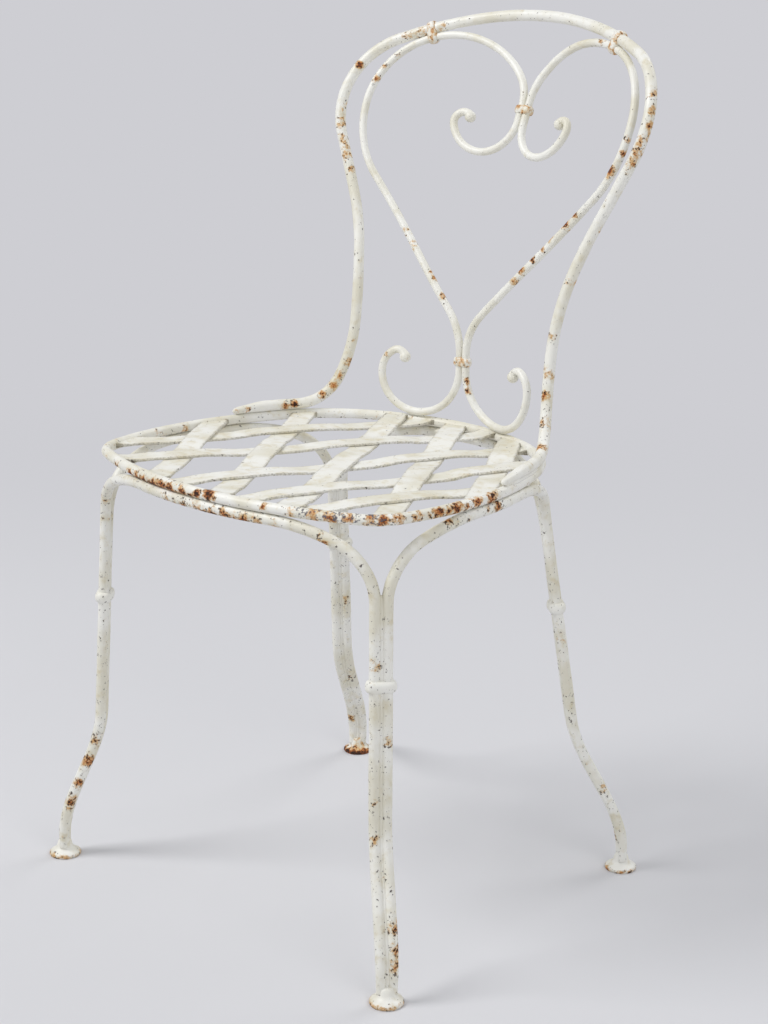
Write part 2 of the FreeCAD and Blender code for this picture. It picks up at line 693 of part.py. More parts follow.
def band_loop(sketch, name, radii, expressions, distance, distance_expression):
    """Closed outline round two circles: two arcs joined by two tangent lines."""
    slant = math.acos((radii[0] - radii[1]) / distance)
    centres = (Vector(0, 0, 0), Vector(distance, 0, 0))
    spans = ((slant, 2 * math.pi - slant), (-slant, slant))
    arcs = []
    for centre, radius, span in zip(centres, radii, spans):
        circle = Part.Circle(centre, Vector(0, 0, 1), radius)
        arcs.append(sketch.addGeometry(Part.ArcOfCircle(circle, *span), False))
    lines = []
    for side in (1, -1):
        ends = [centre + Vector(math.cos(slant), side * math.sin(slant), 0) * radius
                for centre, radius in zip(centres, radii)]
        lines.append(sketch.addGeometry(Part.LineSegment(*ends), False))
    start, end, centre_point, origin = 1, 2, 3, -1
    for arc, first, second in ((arcs[0], start, end), (arcs[1], end, start)):
        line_end = start if arc == arcs[0] else end
        sketch.addConstraint(Sketcher.Constraint("Tangent", arc, first, lines[0], line_end))
        sketch.addConstraint(Sketcher.Constraint("Tangent", arc, second, lines[1], line_end))
    sketch.addConstraint(Sketcher.Constraint("Coincident", arcs[0], centre_point, origin, start))
    sketch.addConstraint(Sketcher.Constraint("PointOnObject", arcs[1], centre_point, origin))
    bind(sketch, Sketcher.Constraint("DistanceX", origin, start, arcs[1], centre_point, distance),
         name + "_distance", distance_expression)
    for arc, radius, expression, place in zip(arcs, radii, expressions, ("first", "second")):
        bind(sketch, Sketcher.Constraint("Radius", arc, radius), "%s_%s_radius" % (name, place), expression)


def edge_names(shape, chosen):
    return ["Edge%d" % number for number, edge in enumerate(shape.Edges, 1) if chosen(edge)]


def band(label, rods, wall, length, place, along, toward):
    """Collar round two rods: rods are their sheet names, along their way, toward the second one."""
    gap = fit_gap
    distance = size(rods[0]) / 2 + size(rods[1]) / 2 + size("pair_gap")
    distance_expression = "(Sizes.%s + Sizes.%s) / 2 + Sizes.pair_gap" % rods
    body = doc.addObject("PartDesign::Body", label)
    body.Label = label
    sketch = new_sketch(body, "XY_Plane")
    inner = [size(rod_name) / 2 + gap for rod_name in rods]
    inner_expressions = ["Sizes.%s / 2 + Sizes.fit_gap" % rod_name for rod_name in rods]
    outer = [radius + size(wall) for radius in inner]
    outer_expressions = [expression + " + Sizes." + wall for expression in inner_expressions]
    band_loop(sketch, "bore", inner, inner_expressions, distance, distance_expression)
    band_loop(sketch, "skin", outer, outer_expressions, distance, distance_expression)
    pad = body.newObject("PartDesign::Pad", label + "_pad")
    pad.Profile = sketch
    pad.Midplane = True
    pad.setExpression("Length", "Sizes." + length)
    doc.recompute()
    half = size(length) / 2

    def on_outer_rim(edge):
        box = edge.BoundBox
        flat = box.ZLength < 1e-6 and abs(abs(box.ZMin) - half) < 1e-6
        point = edge.valueAt((edge.FirstParameter + edge.LastParameter) / 2)
        share = min(1.0, max(0.0, point.x / distance))
        reach = (point - Vector(share * distance, 0, point.z)).Length
        return flat and reach > inner[0] + (inner[1] - inner[0]) * share + size(wall) / 2

    rounding = body.newObject("PartDesign::Fillet", label + "_rounding")
    rounding.Base = (pad, edge_names(pad.Shape, on_outer_rim))
    of_wall = "Sizes.%s * Sizes.rounding_of_wall" % wall
    of_length = "Sizes.%s * Sizes.rounding_of_length" % length
    rounding.setExpression("Radius", "min(%s; %s)" % (of_wall, of_length))
    body.Tip = rounding
    body.Placement = Placement(place, Rotation(toward, along.cross(toward), along, "ZXY"))
    pieces.append(body)
    return body


for leg in legs:
    near = ring_place(leg.ring_mark + half_spacing) - ring_place(leg.ring_mark - half_spacing)
    height = size("leg_collar_height")
    first_rod = ring_place(leg.ring_mark - half_spacing, height) + leg.out * leg.offset(height)
    band(leg.name + "_collar", ("leg_rod_diameter", "leg_rod_diameter"), "leg_collar_wall",
         "leg_collar_length", first_rod, leg.way(height), near)

scroll_pair = ("scroll_diameter", "scroll_diameter")
neck_z = neck_foot_z + size("neck_length") / 2
heart_z = upper_scroll.at(upper_scroll.heart_mark)[1]
for label, height in (("neck_collar", neck_z), ("heart_collar", heart_z)):
    along = bent_place(0.0, height + 1.0) - bent_place(0.0, height - 1.0)
    left_rod = bent_place(-scroll_x, height)
    to_right_rod = bent_place(scroll_x, height) - left_rod
    band(label, scroll_pair, "band_wall", "band_length", left_rod, along, to_right_rod)

tie_mark, tie_point, hoop_point = nearest_to_hoop(upper_scroll)[1:]
tie_ends = [back_place(*upper_scroll.at(tie_mark + step)[:2]) for step in (-1.0, 1.0)]
tie_along = tie_ends[1] - tie_ends[0]
to_hoop = hoop_point - tie_point
for label, side in (("right_top_collar", 1), ("left_top_collar", -1)):
    spot = Vector(side * tie_point.x, tie_point.y, tie_point.z)
    toward = Vector(side * to_hoop.x, to_hoop.y, to_hoop.z)
    along = Vector(side * tie_along.x, tie_along.y, tie_along.z)
    band(label, ("scroll_diameter", "hoop_diameter"), "band_wall", "band_length", spot, along, toward)


def foot(label, place):
    """Turned disc with a straight edge, a domed top and a flat where the rods stand."""
    body = doc.addObject("PartDesign::Body", label)
    body.Label = label
    sketch = new_sketch(body, "XZ_Plane")
    radius = size("foot_diameter") / 2
    neck = size("foot_neck_diameter") / 2
    edge = size("foot_edge")
    centre_z = (radius ** 2 + edge ** 2 - neck ** 2 - foot_height ** 2) / (2 * (edge - foot_height))
    circle = Part.Circle(Vector(0, centre_z, 0), Vector(0, 0, 1), math.hypot(radius, edge - centre_z))
    span = (math.atan2(edge - centre_z, radius), math.atan2(foot_height - centre_z, neck))
    corners = [Vector(0, 0, 0), Vector(radius, 0, 0), Vector(radius, edge, 0)]
    under = sketch.addGeometry(Part.LineSegment(corners[0], corners[1]), False)
    rim = sketch.addGeometry(Part.LineSegment(corners[1], corners[2]), False)
    dome = sketch.addGeometry(Part.ArcOfCircle(circle, *span), False)
    middle = Vector(0, foot_height, 0)
    top = sketch.addGeometry(Part.LineSegment(Vector(neck, foot_height, 0), middle), False)
    axis = sketch.addGeometry(Part.LineSegment(middle, corners[0]), False)
    start, end, centre_point, origin, upright = 1, 2, 3, -1, -2
    for first, second in ((under, rim), (rim, dome), (dome, top), (top, axis), (axis, under)):
        sketch.addConstraint(Sketcher.Constraint("Coincident", first, end, second, start))
    sketch.addConstraint(Sketcher.Constraint("Coincident", under, start, origin, start))
    for line, kind in ((under, "Horizontal"), (rim, "Vertical"), (top, "Horizontal"), (axis, "Vertical")):
        sketch.addConstraint(Sketcher.Constraint(kind, line))
    sketch.addConstraint(Sketcher.Constraint("PointOnObject", dome, centre_point, upright))
    bind(sketch, Sketcher.Constraint("DistanceX", under, start, under, end, radius), "radius",
         "Sizes.foot_diameter / 2")
    bind(sketch, Sketcher.Constraint("DistanceY", rim, start, rim, end, edge), "edge", "Sizes.foot_edge")
    bind(sketch, Sketcher.Constraint("DistanceX", top, end, top, start, neck), "neck",
         "Sizes.foot_neck_diameter / 2")
    bind(sketch, Sketcher.Constraint("DistanceY", axis, end, axis, start, foot_height), "height",
         "Sizes.foot_height")
    turned = body.newObject("PartDesign::Revolution", label + "_turned")
    turned.Profile = sketch
    turned.ReferenceAxis = (sketch, ["V_Axis"])
    turned.Angle = 360.0
    body.Tip = turned
    body.Placement.Base = place
    pieces.append(body)


for leg in legs:
    foot(leg.name + "_foot", leg.foot)


# Every piece is moved together so that the origin lies under the middle of the chair's box.

doc.recompute()
front_y = min(seat_front_y - ring_radius, size("front_foot_y") - size("foot_diameter") / 2)
hoop_rear_y = back_place(0.0, hoop_top_z).y + hoop_radius
rear_foot_y = max(size("left_rear_foot_y"), size("right_rear_foot_y")) + size("foot_diameter") / 2
to_middle = Vector(0, -(front_y + max(hoop_rear_y, rear_foot_y)) / 2, 0)
for piece in pieces:
    piece.Placement = Placement(to_middle, Rotation()).multiply(piece.Placement)
doc.recompute()

for item in doc.Objects:
    if "Invalid" in item.State or "Error" in item.State:
        raise ValueError("%s failed to build" % item.Label)
os.makedirs("parts", exist_ok=True)
for piece in pieces:
    if piece.Shape.isNull() or not piece.Shape.isValid() or len(piece.Shape.Solids) != 1:
        raise ValueError("%s is not one valid solid" % piece.Label)
for piece in pieces:
    piece.Shape.exportStep("parts/%s.step" % piece.Label)
print("%d pieces, seat %.0f mm deep and %.0f mm wide, %.0f mm high, moved %.1f mm" % (
    len(pieces), seat_depth, 2 * max(ring_place(k).x for k in range(int(half_ring.length))),
    hoop_top_z + hoop_radius, to_middle.y))
print("neck at %.1f, heart collar at %.1f, tie at %.1f, %.1f" % (neck_z, heart_z, tie_point.x, tie_point.z))
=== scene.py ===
import math
import bpy
import numpy as np
from mathutils import Matrix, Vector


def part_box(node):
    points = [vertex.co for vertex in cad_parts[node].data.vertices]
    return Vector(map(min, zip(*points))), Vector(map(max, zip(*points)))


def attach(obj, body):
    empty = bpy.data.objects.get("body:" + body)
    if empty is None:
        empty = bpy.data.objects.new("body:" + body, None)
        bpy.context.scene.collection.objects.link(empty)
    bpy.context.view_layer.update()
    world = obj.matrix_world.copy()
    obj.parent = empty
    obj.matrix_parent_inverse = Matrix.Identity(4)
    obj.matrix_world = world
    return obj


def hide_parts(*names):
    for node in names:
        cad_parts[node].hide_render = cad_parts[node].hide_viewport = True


# A painted garden chair: round rods, woven seat straps, collars and disc feet, dressed over the
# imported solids. Lengths are millimetres until a mesh is written, which is in metres.

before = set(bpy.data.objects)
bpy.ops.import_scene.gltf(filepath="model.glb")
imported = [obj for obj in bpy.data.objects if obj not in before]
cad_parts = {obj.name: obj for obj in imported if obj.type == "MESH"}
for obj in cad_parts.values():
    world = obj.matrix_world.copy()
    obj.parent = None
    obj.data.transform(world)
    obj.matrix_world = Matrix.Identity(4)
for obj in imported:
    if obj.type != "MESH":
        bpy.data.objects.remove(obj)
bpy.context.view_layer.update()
metre = 1000.0
upward = np.array([0.0, 0.0, 1.0])
flatten = np.array([1, 1, 0])
legs = ("right_front", "right_rear", "left_rear", "left_front")
print("frame loaded,", len(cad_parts), "nodes")


# Small helpers

def unit(ways):
    # each direction divided by its own length
    return ways / np.maximum(np.linalg.norm(ways, axis=-1, keepdims=True), 1e-9)


def eased(share):
    # 0 to 1 with a level start and end: 3f^2 - 2f^3
    return share * share * (3 - 2 * share)


def fullTurn(count):
    # angles of count points evenly round a circle
    return np.arange(count) * 2 * math.pi / count


class Cloud:
    # smooth values from -1 to 1: random numbers on a lattice, eased from one to the next in each cell
    side = 24

    def __init__(self, seed):
        self.lattice = np.random.default_rng(seed).uniform(-1, 1, (self.side,) * 3)

    def at(self, spots, cell):
        grid = spots / cell
        base = np.floor(grid).astype(int)
        part = eased(grid - base)
        total = 0.0
        for corner in np.ndindex(2, 2, 2):
            index = (base + corner) % self.side
            weight = np.prod(np.where(np.array(corner, bool), part, 1 - part), axis=-1)
            total = total + weight * self.lattice[index[..., 0], index[..., 1], index[..., 2]]
        return total


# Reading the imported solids

lineSettings = {
    "mergeDigits": 3,
    "shortestStep": 1.2,
    "sliceDepth": 0.8,
    # how far to look for the next slice, and how nearly straight ahead it has to be
    "looks": [(4.0, 0.7), (8.0, 0.75), (14.0, 0.85), (24.0, 0.93)],
    "straightLooks": [(40.0, 0.98), (320.0, 0.995)],
    "memory": 2.0,
    # a closed rod is done when this many points lead back to within this reach of the first
    "closingCount": 50,
    "closingReach": 4.0,
    "smoothing": 2.0,
    "fineStep": 0.5,
    "bellReach": 3,
    "firstSide": (0.1, 0.2, 1.0),
}


def nodeSurface(node):
    # a node's merged vertices with their normals, each the sum of the faces that meet there
    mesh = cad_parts[node].data
    places = np.empty(len(mesh.vertices) * 3)
    mesh.vertices.foreach_get("co", places)
    mesh.calc_loop_triangles()
    corners = np.empty(len(mesh.loop_triangles) * 3, int)
    mesh.loop_triangles.foreach_get("vertices", corners)
    rounded = np.round(places.reshape(-1, 3) * metre, lineSettings["mergeDigits"])
    spots, owner = np.unique(rounded, axis=0, return_inverse=True)
    faces = owner.reshape(-1)[corners].reshape(-1, 3)
    first, second, third = (spots[faces[:, k]] for k in range(3))
    sides = np.cross(second - first, third - first)
    normals = np.zeros_like(spots)
    for k in range(3):
        np.add.at(normals, faces[:, k], sides)
    return spots, unit(normals)


def centreLine(node, radius, near, way, closed, straights):
    # a rod's middle: each vertex steps in by the radius, and the walk goes from slice to slice both ways
    spots, normals = nodeSurface(node)
    centres = spots - radius * normals
    start = centres[np.argmin(np.linalg.norm(centres - near, axis=1))]
    looks = lineSettings["looks"] + (lineSettings["straightLooks"] if straights else [])

    def walk(here, way):
        line = [here]
        while True:
            offset = centres - here
            ahead = offset @ way
            away = np.linalg.norm(offset, axis=1)
            for reach, least in looks:
                seen = (ahead > lineSettings["shortestStep"]) & (ahead > least * away) & (away < reach)
                if seen.any():
                    break
            else:
                return line
            group = seen & (ahead < ahead[seen].min() + lineSettings["sliceDepth"])
            here = centres[group].mean(axis=0)
            line.append(here)
            passed = [spot for spot in line[-4:-1]
                      if np.linalg.norm(here - spot) > lineSettings["memory"]]
            way = unit(here - (passed[-1] if passed else line[0]))
            if closed and len(line) > lineSettings["closingCount"]:
                if np.linalg.norm(here - start) < lineSettings["closingReach"]:
                    return line

    onward = walk(start, unit(np.array(way, float)))
    if closed:
        return np.array(onward)
    backward = walk(start, -unit(np.array(way, float)))
    return np.array(backward[:0:-1] + onward)


def evenly(line, step, closed=False):
    # points a step apart on the line, after each has been averaged with its neighbours by a bell curve
    if closed:
        line = np.vstack([line, line[:1]])
    marks = np.concatenate([[0], np.cumsum(np.linalg.norm(np.diff(line, axis=0), axis=1))])
    length = marks[-1]
    fine = np.arange(0, length, lineSettings["fineStep"])
    dense = np.stack([np.interp(fine, marks, line[:, k]) for k in range(3)], axis=1)
    sigma = lineSettings["smoothing"] / lineSettings["fineStep"]
    half = int(lineSettings["bellReach"] * sigma)
    bell = np.exp(-0.5 * (np.arange(-half, half + 1) / sigma) ** 2)
    bell /= bell.sum()
    if closed:
        padded = np.vstack([dense[-half:], dense, dense[:half]])
    else:
        before = 2 * dense[0] - dense[half:0:-1]
        after = 2 * dense[-1] - dense[-2:-half - 2:-1]
        padded = np.vstack([before, dense, after])
    smooth = np.stack([np.convolve(padded[:, k], bell, "valid") for k in range(3)], axis=1)
    count = max(2, int(round(length / step)))
    wanted = np.linspace(0, length, count + 1)
    if closed:
        wanted = wanted[:-1]
    return np.stack([np.interp(wanted, fine, smooth[:, k]) for k in range(3)], axis=1)


def headings(line, closed=False):
    # the line's direction at each point, from its neighbours on both sides
    if closed:
        return unit(np.roll(line, -1, axis=0) - np.roll(line, 1, axis=0))
    return unit(np.gradient(line, axis=0))


def sideways(line, ways):
    # a direction square to the line that turns as little as it can from point to point
    sides = np.empty_like(line)
    side = np.array(lineSettings["firstSide"], float)
    for k, way in enumerate(ways):
        side = unit(side - way * (side @ way))
        sides[k] = side
    return sides


# Shader arithmetic

class Value:
    # a socket of a node tree; arithmetic on it adds Math nodes
    def __init__(self, finish, socket):
        self.finish = finish
        self.socket = socket

    def __add__(self, other):
        return self.finish.math("ADD", self, other)

    def __sub__(self, other):
        return self.finish.math("SUBTRACT", self, other)

    def __mul__(self, other):
        return self.finish.math("MULTIPLY", self, other)

    __radd__ = __add__


class Finish:
    # the node tree of a material or of the world
    def __init__(self, owner):
        owner.use_nodes = True
        self.owner = owner
        self.tree = owner.node_tree
        self.tree.nodes.clear()

    def node(self, kind, settings, sockets, output=0):
        # a node's type, its settings, which are set first, then the values or links of its sockets
        made = self.tree.nodes.new(kind)
        for label, value in settings.items():
            setattr(made, label, value)
        for label, value in sockets.items():
            socket = made.inputs[label]
            if isinstance(value, Value):
                self.tree.links.new(value.socket, socket)
            else:
                socket.default_value = value
        return Value(self, made.outputs[output])

    def math(self, operation, first, second):
        return self.node("ShaderNodeMath", {"operation": operation}, {0: first, 1: second})

    def noise(self, spot, size, detail, roughness):
        # size is the width of a blotch in millimetres
        sockets = {"Vector": spot, "Scale": metre / size, "Detail": detail, "Roughness": roughness}
        return self.node("ShaderNodeTexNoise", {}, sockets)

    def step(self, value, low, high):
        # 0 below low, 1 above high, smooth between
        sockets = {"Value": value, "From Min": low, "From Max": high}
        return self.node("ShaderNodeMapRange", {"interpolation_type": "SMOOTHSTEP"}, sockets)

    def blend(self, factor, first, second):
        # sockets 0, 6 and 7 of a colour Mix are its factor and its two colours, output 2 its result
        sockets = {0: factor, 6: first, 7: second}
        return self.node("ShaderNodeMix", {"data_type": "RGBA"}, sockets, output=2)

    def position(self):
        return self.node("ShaderNodeTexCoord", {}, {}, "Object")

    def mark(self, label):
        return self.node("ShaderNodeAttribute", {"attribute_name": label}, {}, "Fac")

    def end(self, shader, kind="ShaderNodeOutputMaterial"):
        output = self.tree.nodes.new(kind)
        self.tree.links.new(shader.socket, output.inputs["Surface"])


def colour(red, green, blue):
    # a screen colour of 0 to 255 as the shader's linear one
    def linear(value):
        value = value / 255
        return value / 12.92 if value <= 0.04045 else ((value + 0.055) / 1.055) ** 2.4
    return (linear(red), linear(green), linear(blue), 1.0)


paintColours = {
    "white": colour(240, 239, 232),
    "cream": colour(225, 221, 204),
    "yellowed": colour(204, 191, 150),
    "grimeAndShade": colour(112, 102, 76),
    "halo": colour(206, 156, 84),
    "orange": colour(190, 106, 36),
    "rust": colour(112, 58, 28),
    "dark": colour(54, 38, 30),
    "lead": colour(112, 110, 116),
}
# the noises that the paint is made of: width in millimetres, detail and roughness
paintNoises = {
    "broad": (42.0, 3.0, 0.55),
    "patch": (12.0, 4.0, 0.6),
    "flake": (5.0, 5.0, 0.66),
    "fleck": (2.3, 4.0, 0.62),
    "grain": (0.9, 3.0, 0.6),
    "brush": (2.0, 2.0, 0.5),
}
# how much of what lies below it each layer covers
paintCover = {"yellowed": 0.5, "grimeAndShade": 0.85, "halo": 0.8, "orange": 0.85, "rust": 0.9, "dark": 0.95,
              "lead": 0.85}
paintBump = {"Strength": 0.6, "Distance": 0.0006}
# how much of each slot is chipped, rusted and yellowed: a lower number means more
slotSettings = {
    "ring_paint": {"chips": 0.605, "rust": 0.64, "yellow": 0.52},
    "strap_paint": {"chips": 0.632, "rust": 0.685, "yellow": 0.47},
    "leg_paint": {"chips": 0.595, "rust": 0.67, "yellow": 0.50},
    "back_paint": {"chips": 0.610, "rust": 0.67, "yellow": 0.52},
    "scroll_paint": {"chips": 0.620, "rust": 0.68, "yellow": 0.55},
    "leg_collar_paint": {"chips": 0.600, "rust": 0.70, "yellow": 0.58},
    "back_collar_paint": {"chips": 0.615, "rust": 0.62, "yellow": 0.50},
    "foot_paint": {"chips": 0.635, "rust": 0.68, "yellow": 0.52},
}


def agedPaint(name, chips, rust, yellow):
    # thick brushed paint over iron: whites and creams in soft patches, flakes with crisp edges down to
    # dark metal, and rust that bleeds round them. A piece's marks of wear, of dirt mixed with painted shade,
    # and of lead move the edges of these. Each layer is a sum of noises and marks, cut off smoothly between
    # two levels.
    finish = Finish(bpy.data.materials.new(name))
    spot = finish.position()
    wear, dirtAndShade, lead = (finish.mark(label) for label in ("wear", "dirtAndShade", "lead"))
    noises = [finish.noise(spot, *noise) for noise in paintNoises.values()]
    broad, patch, flake, fleck, grain, brush = noises

    def coat(amount, below, layer):
        return finish.blend(amount * paintCover[layer], below, paintColours[layer])

    base = finish.blend(finish.step(broad, 0.38, 0.66), paintColours["white"], paintColours["cream"])
    base = coat(finish.step(patch + wear * 0.2, yellow, yellow + 0.25), base, "yellowed")
    # the grime colour coats where a piece's marks say: painted shade on the undersides of rods and on the
    # bars' edges and ends, dirt on the bars' faces, and a darker rim on the feet
    base = coat(finish.step(dirtAndShade + (fleck - 0.5) * 0.9, 0.3, 0.95), base, "grimeAndShade")

    # rust in three depths: a stain, orange rust in it and dark rust in that
    field = flake * 0.62 + patch * 0.38
    halo = finish.step(field + wear * 0.32, rust - 0.06, rust + 0.05)
    eaten = finish.step(field * 0.8 + fleck * 0.2 + wear * 0.29, rust + 0.02, rust + 0.07)
    deep = finish.step(field * 0.7 + fleck * 0.3 + wear * 0.28, rust + 0.055, rust + 0.095)
    base = coat(halo, base, "halo")
    base = coat(eaten, base, "orange")
    base = coat(deep, base, "rust")

    # flakes that are gone, down to the metal, and specks that are rubbed to the grey undercoat
    chipField = fleck * 0.55 + flake * 0.45 + wear * 0.11 + dirtAndShade * 0.06
    chip = finish.step(chipField, chips, chips + 0.018)
    speckle = finish.step(fleck * 0.6 + flake * 0.4 + lead * 0.17, 0.66, 0.69)
    base = coat(chip, base, "dark")
    base = coat(speckle, base, "lead")

    gone = finish.math("MAXIMUM", chip, speckle)
    rough = 0.36 + (broad * 0.12 + eaten * 0.35 + gone * 0.3)
    pitted = grain * (eaten * 0.7 + gone * 0.3 + 0.06)
    height = brush * 0.3 + patch * 0.8 + pitted - gone * 0.9 - deep * 0.25
    bump = finish.node("ShaderNodeBump", {}, {**paintBump, "Height": height})
    sockets = {"Base Color": base, "Roughness": rough, "Normal": bump}
    finish.end(finish.node("ShaderNodeBsdfPrincipled", {}, sockets))
    return finish.owner


finishes = {slot: agedPaint(slot, **settings) for slot, settings in slotSettings.items()}
print("finishes made")


# Writing meshes

def gridFaces(rows, columns, closed):
    # quads of a grid whose columns run round: face (i, j) joins rows i and i + 1, columns j and j + 1
    i, j = np.meshgrid(np.arange(rows if closed else rows - 1), np.arange(columns), indexing="ij")
    lower, upper = i * columns, ((i + 1) % rows) * columns
    right = (j + 1) % columns
    return np.stack([lower + j, lower + right, upper + right, upper + j], axis=-1).reshape(-1, 4)


def tubeMesh(rings, closed=False):
    # rings of points joined to a skin, with a point at each open end
    rows, columns = rings.shape[:2]
    spots = rings.reshape(-1, 3)
    faces = gridFaces(rows, columns, closed).tolist()
    if not closed:
        last = (rows - 1) * columns
        spots = np.vstack([spots, rings[0].mean(axis=0), rings[-1].mean(axis=0)])
        around = np.arange(columns)
        following = (around + 1) % columns
        low = np.full(columns, rows * columns)
        faces += np.stack([low, following, around], axis=1).tolist()
        faces += np.stack([low + 1, last + around, last + following], axis=1).tolist()
    return spots, faces


def makePiece(name, spots, faces, slot, marks, nodes=()):
    mesh = bpy.data.meshes.new(name)
    mesh.from_pydata((spots / metre).tolist(), [], faces)
    mesh.validate()
    mesh.shade_smooth()
    for label, values in marks.items():
        layer = mesh.attributes.new(label, "FLOAT", "POINT")
        layer.data.foreach_set("value", np.asarray(values, np.float32))
    piece = bpy.data.objects.new(name, mesh)
    bpy.context.scene.collection.objects.link(piece)
    mesh.materials.append(finishes[slot])
    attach(piece, "root")
    if nodes:
        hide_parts(*nodes)


# Worn places: x, y, z, how far the wear reaches and how strong it is. The seat ring and the arches rust
# on their lower sides, where water hangs.

wornPlaces = {
    "seat_ring": [
        (-134, -225, 444, 6, 0.7), (-104, -234, 444, 7, 0.8), (-77, -240, 443, 7, 0.9),
        (-60, -242, 442, 8, 1.0), (-45, -245, 443, 8, 1.0), (-32, -246, 443, 8, 1.0),
        (-15, -247, 443, 8, 1.0), (7, -248, 447, 6, 1.0), (21, -247, 449, 8, 1.2), (85, -239, 448, 4, 0.8),
        (113, -232, 448, 7, 0.5), (133, -226, 448, 9, 0.6), (152, -219, 446, 9, 0.7),
        (167, -212, 448, 9, 0.7), (185, -202, 448, 9, 0.7), (192, -194, 448, 9, 0.8),
        (199, -181, 449, 8, 0.8), (205, -162, 447, 8, 0.6), (209, -139, 447, 9, 0.8),
        (212, -115, 447, 9, 0.9), (211, -86, 448, 8, 0.9), (210, -64, 447, 8, 1.0),
        (-90, -237, 442, 7, 0.85), (-68, -241, 441, 7, 0.9), (-52, -244, 441, 7, 0.9),
        (-38, -246, 441, 7, 0.9), (-24, -247, 441, 6, 0.8), (-4, -248, 443, 6, 0.75),
        (211, -150, 445, 7, 0.7), (213, -127, 445, 7, 0.75), (213, -100, 445, 7, 0.75),
        (-200, -59, 442, 5, 0.4), (-195, -27, 443, 5, 0.5), (-201, -76, 444, 5, 0.5),
        (-201, -113, 448, 5, 0.4),
    ],
    "front_arch": [
        (-39, -244, 431, 8, 0.8), (-14, -246, 431, 8, 0.8), (7, -247, 431, 8, 0.9), (26, -246, 431, 8, 1.0),
        (42, -245, 432, 8, 1.0), (62, -242, 431, 8, 0.9), (78, -239, 432, 8, 0.7), (94, -236, 431, 7, 0.5),
        (-26, -245, 430, 6, 0.65), (16, -247, 430, 6, 0.75), (34, -246, 430, 6, 0.8),
        (52, -244, 430, 6, 0.75), (145, -220, 422, 6, 0.6), (142, -222, 424, 6, 0.5),
        (-172, -211, 412, 6, 0.5), (-177, -207, 399, 6, 0.4), (-195, -210, 136, 9, 0.8),
        (-202, -215, 111, 9, 0.9), (-211, -222, 86, 9, 0.9), (-218, -227, 63, 9, 0.8),
        (191, -204, 312, 9, 0.5), (196, -208, 184, 7, 0.5), (200, -209, 148, 7, 0.6),
    ],
    "right_arch": [
        (207, -123, 437, 6, 0.8), (208, -53, 437, 8, 0.9), (210, -71, 437, 7, 0.6), (212, -100, 437, 6, 0.5),
        (204, -194, 238, 7, 0.6), (233, -213, 71, 8, 0.8), (238, -216, 53, 8, 0.9), (240, -222, 37, 8, 0.9),
        (204, 139, 94, 7, 0.5), (167, 102, 258, 6, 0.4),
    ],
    "rear_arch": [(-152, 118, 225, 9, 0.4), (-173, 150, 118, 9, 0.5), (205, 161, 35, 8, 0.6)],
    "left_arch": [(-210, 194, 46, 9, 0.6)],
    "back_hoop": [
        (-190, -11, 459, 5, 0.9), (-185, 2, 458, 5, 0.9), (-170, 42, 457, 6, 0.9), (-165, 51, 459, 6, 1.1),
        (-149, 78, 468, 6, 0.7), (-143, 88, 477, 6, 0.8), (-138, 94, 489, 6, 0.9), (-133, 102, 503, 6, 0.8),
        (-130, 107, 528, 5, 0.5), (-197, 158, 770, 8, 0.55), (-194, 153, 752, 9, 0.6),
        (-187, 148, 736, 9, 0.6), (-181, 145, 721, 9, 0.6), (-172, 143, 705, 7, 0.6),
        (-191, 174, 813, 5, 1.1), (203, 172, 804, 7, 0.6), (208, 166, 789, 7, 0.65),
        (208, 160, 776, 7, 0.65), (204, 152, 760, 8, 0.7), (201, 149, 750, 8, 0.7), (198, 148, 740, 8, 0.7),
        (168, 141, 671, 5, 0.5), (149, 130, 620, 5, 0.7), (146, 122, 621, 4, 0.5), (136, 110, 564, 6, 0.5),
        (137, 105, 531, 7, 0.7), (139, 99, 508, 7, 0.8), (145, 90, 484, 8, 0.7), (161, 69, 465, 8, 0.8),
        (-149, 202, 844, 8, 0.55), (-132, 210, 849, 8, 0.5), (-110, 218, 855, 6, 0.5),
    ],
    "right_scroll": [
        (178, 164, 759, 6, 0.9), (177, 161, 746, 6, 1.0), (165, 156, 729, 6, 1.1), (128, 151, 683, 6, 1.1),
        (118, 150, 672, 6, 1.1), (101, 150, 656, 5, 0.8), (93, 146, 645, 5, 0.9), (82, 143, 633, 5, 1.0),
        (70, 141, 622, 5, 1.0), (63, 139, 609, 5, 0.9), (9, 133, 498, 5, 0.8), (11, 132, 489, 5, 0.9),
        (118, 213, 844, 6, 0.7), (101, 219, 848, 6, 0.7),
    ],
    "left_scroll": [
        (-93, 145, 642, 7, 0.6), (-80, 144, 633, 7, 0.6), (-52, 142, 606, 5, 0.9), (-46, 141, 600, 5, 0.8),
        (-31, 138, 584, 7, 0.6), (-20, 135, 571, 7, 0.6), (-165, 186, 812, 6, 0.7), (-170, 180, 799, 6, 0.8),
        (-154, 195, 823, 6, 0.6), (-96, 121, 492, 4, 0.4), (-95, 119, 515, 5, 0.7),
    ],
}
# a length of the ring's front where the paint is rubbed to the grey undercoat
rubbedPlaces = [(126, -229, 450, 14, 1), (142, -224, 450, 14, 1), (158, -217, 450, 14, 1),
                (174, -209, 450, 14, 1), (188, -199, 450, 14, 1)]


def strongest(spots, places):
    # the greatest of the places' bells at each spot: strength times exp(-(distance / reach) squared)
    marks = np.zeros(len(spots))
    for x, y, z, reach, strength in places:
        away = np.linalg.norm(spots - np.array([x, y, z]), axis=1) / reach
        marks = np.maximum(marks, strength * np.exp(-away ** 2))
    return marks


def marksOf(node, spots):
    # a piece's wear and rubbed paint from the places above, and no dirt or painted shade yet
    rubbed = rubbedPlaces if node == "seat_ring" else []
    return {"wear": strongest(spots, wornPlaces.get(node, [])), "dirtAndShade": np.zeros(len(spots)),
            "lead": strongest(spots, rubbed)}


# Rods: a round profile carried along each solid's middle line, a little uneven as if forged

